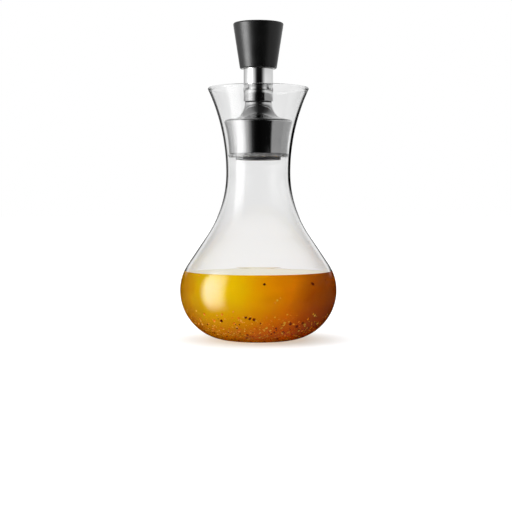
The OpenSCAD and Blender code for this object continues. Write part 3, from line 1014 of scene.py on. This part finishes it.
def studio_world():
    world = bpy.data.worlds.new("studio")
    bpy.context.scene.world = world
    world.use_nodes = True
    tree = world.node_tree
    tree.nodes.clear()
    path = add(tree, "ShaderNodeLightPath").outputs
    way = add(tree, "ShaderNodeSeparateXYZ", {
        0: add(tree, "ShaderNodeTexCoord").outputs["Generated"]}).outputs
    near = add(tree, "ShaderNodeMath", {0: way["Y"], 1: -1.0}, operation="MULTIPLY")
    angle = add(tree, "ShaderNodeMath", {0: way["X"], 1: near.outputs[0]}, operation="ARCTAN2")
    turn = add(tree, "ShaderNodeMapRange", {
        "Value": angle.outputs[0], "From Min": -math.pi, "From Max": math.pi}).outputs[0]
    scattered = was_scattered(tree, path)
    mirrored = was_mirrored(tree, path)
    lit = lit_room(tree, path, room_around(tree, way, turn), scattered)
    # What shows straight through the glass is never darker than the backdrop.
    back_half = add(tree, "ShaderNodeMapRange", {
        "Value": way["Y"], "From Min": -0.3, "From Max": 0.0})
    straight = add(tree, "ShaderNodeMath", {0: back_half.outputs[0], 1: mirrored},
                   operation="SUBTRACT", use_clamp=True)
    backdrop = add(tree, "ShaderNodeMix", {
        "Factor": straight.outputs[0], "A": lit, "B": grey(BACKDROP / GAIN)},
        data_type="RGBA", blend_type="LIGHTEN")
    edged = add(tree, "ShaderNodeMix", {
        "Factor": edge_share(tree, path, way, scattered, mirrored),
        "A": backdrop.outputs["Result"], "B": edge_room(tree, way, turn)}, data_type="RGBA")
    outlined = add(tree, "ShaderNodeMix", {
        "Factor": off_sharp_mirror(tree, path), "A": edged.outputs["Result"],
        "B": outline_sheen(tree, way)}, data_type="RGBA")
    seen = add(tree, "ShaderNodeMix", {
        "Factor": path["Is Camera Ray"], "A": outlined.outputs["Result"],
        "B": grey(1 / GAIN)}, data_type="RGBA")
    sky = add(tree, "ShaderNodeBackground", {"Color": seen.outputs["Result"], "Strength": GAIN})
    add(tree, "ShaderNodeOutputWorld", {"Surface": sky.outputs[0]})


studio_world()
print("world ready")

# %% [markdown]
# The soft box is a real lamp, because it has to light the grip and draw the highlight on the
# belly. It reaches below the table's height. Steel inside the neck sees it only as a pale
# panel, so that the polished band there doesn't burn out.

# %% Soft box
def from_middle(tree, place):
    """How far a place across a sheet, from 0 to 1, is from its middle."""
    off = add(tree, "ShaderNodeMath", {0: place, 1: 0.5}, operation="SUBTRACT")
    return add(tree, "ShaderNodeMath", {0: off.outputs[0]}, operation="ABSOLUTE").outputs[0]


def compass_place(compass, distance):
    """The place on the floor at a compass angle and a distance from the bottle."""
    return Vector((distance * math.sin(compass), -distance * math.cos(compass), 0))


def soft_box(name, compass, distance, height, width, tall, power):
    """A soft box at a compass angle and a distance from the bottle, turned towards it."""
    light = bpy.data.lights.new(name, "AREA")
    light.shape = "RECTANGLE"
    light.size = width
    light.size_y = tall
    light.energy = power
    light.use_nodes = True
    tree = light.node_tree
    tree.nodes.clear()
    path = add(tree, "ShaderNodeLightPath").outputs
    in_neck = add(tree, "ShaderNodeMath", {0: path["Transmission Depth"], 1: 1.5},
                  operation="GREATER_THAN")
    off_steel = add(tree, "ShaderNodeMath", {0: was_mirrored(tree, path), 1: in_neck.outputs[0]},
                    operation="MULTIPLY")
    dimmed = add(tree, "ShaderNodeMath", {0: off_steel.outputs[0], 1: was_scattered(tree, path)},
                 operation="SUBTRACT", use_clamp=True)
    strength = add(tree, "ShaderNodeMapRange", {
        "Value": dimmed.outputs[0], "To Min": 1.0, "To Max": 0.05}).outputs[0]
    where = add(tree, "ShaderNodeSeparateXYZ", {
        0: add(tree, "ShaderNodeNewGeometry").outputs["Parametric"]}).outputs
    for axis in ("X", "Y"):
        edge = add(tree, "ShaderNodeMapRange", {
            "Value": from_middle(tree, where[axis]), "From Min": 0.5, "From Max": 0.2},
            interpolation_type="SMOOTHSTEP")
        strength = add(tree, "ShaderNodeMath", {0: strength, 1: edge.outputs[0]},
                       operation="MULTIPLY").outputs[0]
    glow = add(tree, "ShaderNodeEmission", {"Strength": strength})
    add(tree, "ShaderNodeOutputLight", {0: glow.outputs[0]})
    box = bpy.data.objects.new(name, light)
    box.location = compass_place(compass, distance) + Vector((0, 0, height))
    box.rotation_euler = (math.pi / 2, 0, compass)
    bpy.context.scene.collection.objects.link(box)
    return box


key = soft_box("left_soft_box", compass=math.radians(-66), distance=0.5, height=0.05,
               width=0.42, tall=0.80, power=9.5)
print("lamp:", key.name)

# %% [markdown]
# Clear glass mirrors only a few hundredths of what it faces, so the white cloth of the soft box
# needs to be far brighter than the room to show on the belly. This sheet is that bright middle
# of the cloth. Only the sharp mirror of the glass meets it, and it fades towards its edges.

# %% Bright middle of the soft box
def flat_sheet(name, corners, finish):
    """A sheet between four corners."""
    mesh = bpy.data.meshes.new(name)
    mesh.from_pydata(corners, [], [(0, 1, 2, 3)])
    mesh.materials.append(finish)
    made = bpy.data.objects.new(name, mesh)
    bpy.context.scene.collection.objects.link(made)
    return made


def cloth_finish(strength):
    """White cloth with light behind it, brightest in the middle and clear but for mirrors."""
    material, out = new_material("bright_cloth")
    tree = material.node_tree
    path = add(tree, "ShaderNodeLightPath").outputs
    across = add(tree, "ShaderNodeSeparateXYZ", {
        0: add(tree, "ShaderNodeUVMap", uv_map="cloth").outputs[0]}).outputs
    level = add(tree, "ShaderNodeMath", {0: off_sharp_mirror(tree, path), 1: strength},
                operation="MULTIPLY").outputs[0]
    for place, start, full in ((from_middle(tree, across["X"]), 0.5, 0.05),
                               (across["Y"], 0.0, 0.5), (across["Y"], 1.0, 0.5)):
        fade = add(tree, "ShaderNodeMapRange", {
            "Value": place, "From Min": start, "From Max": full},
            interpolation_type="SMOOTHSTEP")
        level = add(tree, "ShaderNodeMath", {0: level, 1: fade.outputs[0]},
                    operation="MULTIPLY").outputs[0]
    glow = add(tree, "ShaderNodeEmission", {"Strength": level})
    clear = add(tree, "ShaderNodeBsdfTransparent")
    both = add(tree, "ShaderNodeAddShader", {0: glow.outputs[0], 1: clear.outputs[0]})
    tree.links.new(both.outputs[0], out.inputs["Surface"])
    material.cycles.emission_sampling = "NONE"
    return material


def bright_cloth(name, compass, distance, low, high, width, strength):
    """A bright sheet at a compass angle and a distance from the bottle, turned towards it."""
    middle = compass_place(compass, distance)
    half_width = Vector((math.cos(compass), math.sin(compass), 0)) * width / 2
    foot = Vector((0, 0, low))
    head = Vector((0, 0, high))
    sheet = flat_sheet(name, [
        middle - half_width + foot, middle + half_width + foot,
        middle + half_width + head, middle - half_width + head], cloth_finish(strength))
    cloth_map = sheet.data.uv_layers.new(name="cloth")
    for corner, uv in zip(cloth_map.data, ((0, 0), (1, 0), (1, 1), (0, 1))):
        corner.uv = uv
    sheet.visible_camera = sheet.visible_diffuse = sheet.visible_transmission = False
    sheet.visible_shadow = sheet.visible_volume_scatter = False
    return sheet


cloth = bright_cloth("bright_cloth", compass=math.radians(-67), distance=0.48, low=-0.36,
                     high=0.6, width=0.48, strength=17.0)
print("placed", cloth.name)

# %% [markdown]
# ## Floor
# The floor is a sheet of white acrylic. It adds its own light for the eye, so it stays white
# right up to the soft shadow under the bottle; that shadow is painted into the floor's own light,
# and the real shade on its surface adds to it. It mirrors the bottle very faintly. A real
# table is small, so mirrors look past it: a ray straight off a mirror doesn't meet the floor, and
# one that a mirror has turned on its way meets it only close to the bottle and in a lane behind.

# %% Floor as the eye sees it
# The painted shadow under the belly, warmed by painted light through the dressing: millimetres
# from the axis, and a tint.
PAINTED_BELLY_SHADOW = [(18, "D1C0A4"), (31, "C8C0B3"), (43, "D4D1CB"), (55, "E3E2E1"),
               (67, "EFEFEE"), (100, "FFFFFF")]
UNDER_REACH = 100 * MM
TABLE_HALF = 100 * MM
FLOOR_HALF = 6.0


def glow_under(tree, away):
    """White acrylic with its own light, and a painted shadow under the belly, tinted warm by
    painted light through the dressing.
    """
    paper = add(tree, "ShaderNodeBsdfDiffuse", {"Color": srgb("969696")})
    share = add(tree, "ShaderNodeMath", {0: away, 1: UNDER_REACH}, operation="DIVIDE")
    under = add(tree, "ShaderNodeValToRGB", {"Fac": share.outputs[0]})
    set_stops(under, [(r * MM / UNDER_REACH, srgb(tint)) for r, tint in PAINTED_BELLY_SHADOW])
    glow = add(tree, "ShaderNodeEmission", {"Color": under.outputs["Color"], "Strength": 0.93})
    return add(tree, "ShaderNodeAddShader", {0: paper.outputs[0], 1: glow.outputs[0]}).outputs[0]


print(len(PAINTED_BELLY_SHADOW), "rings of shade under the belly")

# %% Floor through the glass
def floor_through_glass(tree, path, away):
    """The floor behind glass: shaded near the bottle, and as pale as the backdrop far off."""
    shade = add(tree, "ShaderNodeMapRange", {
        "Value": away, "From Min": 0.05, "From Max": 0.45, "To Min": 0.10, "To Max": 1.0},
        interpolation_type="SMOOTHSTEP")
    far = add(tree, "ShaderNodeMapRange", {
        "Value": away, "From Min": 0.8, "From Max": FLOOR_HALF, "To Min": 1.0,
        "To Max": BACKDROP})
    many_walls = add(tree, "ShaderNodeMath", {0: path["Transmission Depth"], 1: 4.5},
                     operation="GREATER_THAN")
    turned = add(tree, "ShaderNodeMath", {
        0: many_walls.outputs[0], 1: was_mirrored(tree, path)}, operation="MAXIMUM")
    edge = add(tree, "ShaderNodeMath", {0: crossed_two_faces(tree, path), 1: 0.85},
               operation="MULTIPLY")
    shaded = add(tree, "ShaderNodeMath", {0: turned.outputs[0], 1: edge.outputs[0]},
                 operation="SUBTRACT", use_clamp=True)
    near_level = add(tree, "ShaderNodeMix", {
        "Factor": shaded.outputs[0], "A": 1.0, "B": shade.outputs[0]})
    faded = add(tree, "ShaderNodeMath", {0: near_level.outputs[0], 1: far.outputs[0]},
                operation="MULTIPLY")
    return add(tree, "ShaderNodeEmission", {
        "Color": srgb("FFFFFF"), "Strength": faded.outputs[0]}).outputs[0]


def past_table(tree, path, away):
    """1 where a ray doesn't meet the floor, because a mirror has turned it past the table."""
    place = add(tree, "ShaderNodeSeparateXYZ", {
        0: add(tree, "ShaderNodeNewGeometry").outputs["Position"]}).outputs
    side = add(tree, "ShaderNodeMath", {0: place["X"]}, operation="ABSOLUTE")
    lane = add(tree, "ShaderNodeMath", {0: side.outputs[0], 1: place["Y"]}, operation="DIVIDE")
    in_lane = add(tree, "ShaderNodeMapRange", {
        "Value": lane.outputs[0], "From Min": 0.36, "From Max": 0.30})
    behind = add(tree, "ShaderNodeMath", {0: place["Y"], 1: 0.0}, operation="GREATER_THAN")
    strip = add(tree, "ShaderNodeMath", {0: in_lane.outputs[0], 1: behind.outputs[0]},
                operation="MULTIPLY")
    beneath = add(tree, "ShaderNodeMapRange", {
        "Value": away, "From Min": 1.6 * TABLE_HALF, "From Max": TABLE_HALF},
        interpolation_type="SMOOTHSTEP")
    table = add(tree, "ShaderNodeMath", {0: strip.outputs[0], 1: beneath.outputs[0]},
                operation="MAXIMUM")
    past = add(tree, "ShaderNodeMath", {0: 1.0, 1: table.outputs[0]}, operation="SUBTRACT")
    missed = add(tree, "ShaderNodeMath", {0: past.outputs[0], 1: was_mirrored(tree, path)},
                 operation="MULTIPLY")
    return add(tree, "ShaderNodeMath", {0: missed.outputs[0], 1: path["Is Reflection Ray"]},
               operation="MAXIMUM").outputs[0]


print("floor views ready")

# %% Floor
def white_acrylic():
    material, out = new_material("white_acrylic_sheet")
    tree = material.node_tree
    path = add(tree, "ShaderNodeLightPath").outputs
    away = add(tree, "ShaderNodeVectorMath", {
        0: add(tree, "ShaderNodeNewGeometry").outputs["Position"]},
        operation="LENGTH").outputs["Value"]
    crossed = add(tree, "ShaderNodeMixShader", {
        0: path["Is Transmission Ray"], 1: glow_under(tree, away),
        2: floor_through_glass(tree, path, away)})
    gloss = add(tree, "ShaderNodeBsdfGlossy", {"Roughness": 0.08})
    shiny = add(tree, "ShaderNodeMath", {0: path["Is Camera Ray"], 1: 0.03}, operation="MULTIPLY")
    sheet = add(tree, "ShaderNodeMixShader", {
        0: shiny.outputs[0], 1: crossed.outputs[0], 2: gloss.outputs[0]})
    clear = add(tree, "ShaderNodeBsdfTransparent")
    ends = add(tree, "ShaderNodeMixShader", {
        0: past_table(tree, path, away), 1: sheet.outputs[0], 2: clear.outputs[0]})
    tree.links.new(ends.outputs[0], out.inputs["Surface"])
    return material


floor = flat_sheet("floor", [
    (-FLOOR_HALF, -FLOOR_HALF, 0), (FLOOR_HALF, -FLOOR_HALF, 0),
    (FLOOR_HALF, FLOOR_HALF, 0), (-FLOOR_HALF, FLOOR_HALF, 0)], white_acrylic())
print("floor ready")

# %% [markdown]
# A black card stands low on the right, out of the picture. Photographers use one to give a clear
# or cloudy liquid a dark side. Only light that the dressing has scattered meets it, so it doesn't
# show through the clear glass.

# %% Black card
def black_felt():
    material, out = new_material("black_card")
    tree = material.node_tree
    path = add(tree, "ShaderNodeLightPath").outputs
    felt = add(tree, "ShaderNodeBsdfDiffuse", {"Color": srgb("0A0A0A")})
    unseen = add(tree, "ShaderNodeBsdfTransparent")
    cover = add(tree, "ShaderNodeMixShader", {
        0: was_scattered(tree, path), 1: unseen.outputs[0], 2: felt.outputs[0]})
    tree.links.new(cover.outputs[0], out.inputs["Surface"])
    return material


CARD_X = 0.085
CARD_HALF = 0.12
CARD_TALL = 0.085
CARD_LIFT = 0.001
card = flat_sheet("right_card", [
    (CARD_X, -CARD_HALF, CARD_LIFT), (CARD_X, CARD_HALF, CARD_LIFT),
    (CARD_X, CARD_HALF, CARD_TALL), (CARD_X, -CARD_HALF, CARD_TALL)], black_felt())
card.visible_camera = card.visible_glossy = card.visible_diffuse = False
card.visible_shadow = False
print("placed", card.name)

# %% [markdown]
# ## Bounces
# Light crosses many surfaces of glass and scatters many times in the cloudy dressing, so it needs
# more bounces than most scenes.

# %% Bounces
cycles = bpy.context.scene.cycles
cycles.max_bounces = 64
cycles.transmission_bounces = 32
cycles.glossy_bounces = 24
cycles.blur_glossy = 0.0
cycles.volume_bounces = 40
print("bounces:", cycles.max_bounces, cycles.transmission_bounces, cycles.volume_bounces)

# %% Finish
bpy.context.scene.view_settings.view_transform = "Standard"
